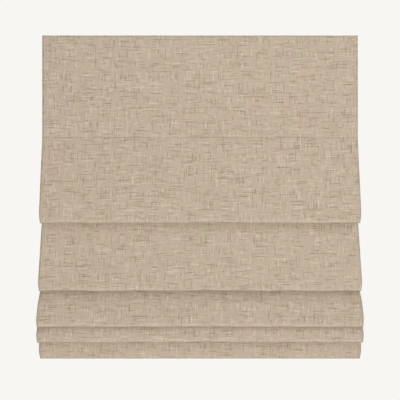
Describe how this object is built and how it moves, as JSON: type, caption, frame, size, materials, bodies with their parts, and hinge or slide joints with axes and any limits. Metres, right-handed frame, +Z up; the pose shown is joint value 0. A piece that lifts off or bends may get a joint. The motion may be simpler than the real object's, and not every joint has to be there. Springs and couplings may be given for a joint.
{
  "type": "roman blind",
  "caption": "Cordless roman blind of slub linen, hanging part raised in soft folds from a headrail whose spring motor winds the lift tapes behind it.",
  "frame": {"origin": "middle of the four bracket screw holes, on the plane where the brackets meet the window head", "axes": "+X along the headrail to the viewer's right, +Y towards the window, +Z up"},
  "size_m": [0.914, 0.126, 0.93],
  "materials": {
    "linen": "plain-woven slub linen, matt",
    "grip_tape": "woven nylon, matt",
    "pocket_tape": "woven polyester, matt",
    "lift_webbing": "flat woven polyester",
    "rail_white": "satin powder coat",
    "bar_aluminium": "mill finish",
    "zinc_steel": "zinc plated",
    "spring_steel": "blued strip",
    "moulding_white": "fine moulded",
    "gear_moulding": "fine moulded",
    "clear_moulding": "milky clear",
    "rod_fibreglass": "drawn rod"
  },
  "bodies": {
    "headrail": {"headrail": "rail_white", "end_cap_left": "moulding_white", "end_cap_right": "moulding_white", "bracket_left": "zinc_steel", "bracket_right": "zinc_steel", "hook_tape": "grip_tape", "loop_tape": "grip_tape", "blind_cloth": "linen", "motor_housing": "moulding_white", "motor_cover": "moulding_white", "motor_spring": "spring_steel", "reel_cradle_left": "moulding_white", "reel_cradle_centre": "moulding_white", "reel_cradle_right": "moulding_white", "lift_tape_left": "lift_webbing", "lift_tape_centre": "lift_webbing", "lift_tape_right": "lift_webbing"},
    "lift_shaft": {"lift_shaft": "zinc_steel", "shaft_bush_left": "moulding_white", "shaft_bush_right": "moulding_white", "drive_drum": "gear_moulding", "tape_reel_left": "moulding_white", "tape_reel_centre": "moulding_white", "tape_reel_right": "moulding_white"},
    "storage_drum": {"storage_drum": "gear_moulding"},
    "bottom_bar": {"bottom_bar": "bar_aluminium", "bar_plug_left": "moulding_white", "bar_plug_right": "moulding_white", "tape_anchor_left": "clear_moulding", "tape_anchor_centre": "clear_moulding", "tape_anchor_right": "clear_moulding"},
    "rib_1": {"rib_rod_1": "rod_fibreglass", "rib_pocket_1": "pocket_tape", "rib_guides_1": "clear_moulding"},
    "rib_2": {"rib_rod_2": "rod_fibreglass", "rib_pocket_2": "pocket_tape", "rib_guides_2": "clear_moulding"},
    "rib_3": {"rib_rod_3": "rod_fibreglass", "rib_pocket_3": "pocket_tape", "rib_guides_3": "clear_moulding"},
    "rib_4": {"rib_rod_4": "rod_fibreglass", "rib_pocket_4": "pocket_tape", "rib_guides_4": "clear_moulding"},
    "rib_5": {"rib_rod_5": "rod_fibreglass", "rib_pocket_5": "pocket_tape", "rib_guides_5": "clear_moulding"}
  },
  "joints": [
    {"name": "lift", "type": "slide", "parent": "headrail", "child": "bottom_bar", "axis": [0, 0, 1], "range_m": [-0.698, 0.6], "deforming": ["blind_cloth", "lift_tape_left", "lift_tape_centre", "lift_tape_right", "motor_spring"]},
    {"name": "rib_1_rise", "type": "slide", "parent": "headrail", "child": "rib_1", "axis": [0, 0, 1], "range_m": [-0.1665, 0.1432]},
    {"name": "rib_2_rise", "type": "slide", "parent": "headrail", "child": "rib_2", "axis": [0, 0, 1], "range_m": [-0.41, 0.3525]},
    {"name": "rib_3_rise", "type": "slide", "parent": "headrail", "child": "rib_3", "axis": [0, 0, 1], "range_m": [-0.5692, 0.4893]},
    {"name": "rib_4_rise", "type": "slide", "parent": "headrail", "child": "rib_4", "axis": [0, 0, 1], "range_m": [-0.6152, 0.5289]},
    {"name": "rib_5_rise", "type": "slide", "parent": "headrail", "child": "rib_5", "axis": [0, 0, 1], "range_m": [-0.6348, 0.5457]},
    {"name": "shaft_turn", "type": "hinge", "parent": "headrail", "child": "lift_shaft", "pos_m": [0, -0.0116, -0.0245], "axis": [1, 0, 0], "continuous": true},
    {"name": "storage_turn", "type": "hinge", "parent": "headrail", "child": "storage_drum", "pos_m": [-0.165, 0.0094, -0.0245], "axis": [1, 0, 0], "continuous": true}
  ],
  "couplings": [
    {"joint": "rib_1_rise", "follows": "lift", "ratio": 0.23776},
    {"joint": "rib_2_rise", "follows": "lift", "ratio": 0.58661},
    {"joint": "rib_3_rise", "follows": "lift", "ratio": 0.81472},
    {"joint": "rib_4_rise", "follows": "lift", "ratio": 0.88069},
    {"joint": "rib_5_rise", "follows": "lift", "ratio": 0.90872},
    {"joint": "shaft_turn", "follows": "lift", "rad_per_m": -99.01},
    {"joint": "storage_turn", "follows": "lift", "rad_per_m": 99.01}
  ]
}
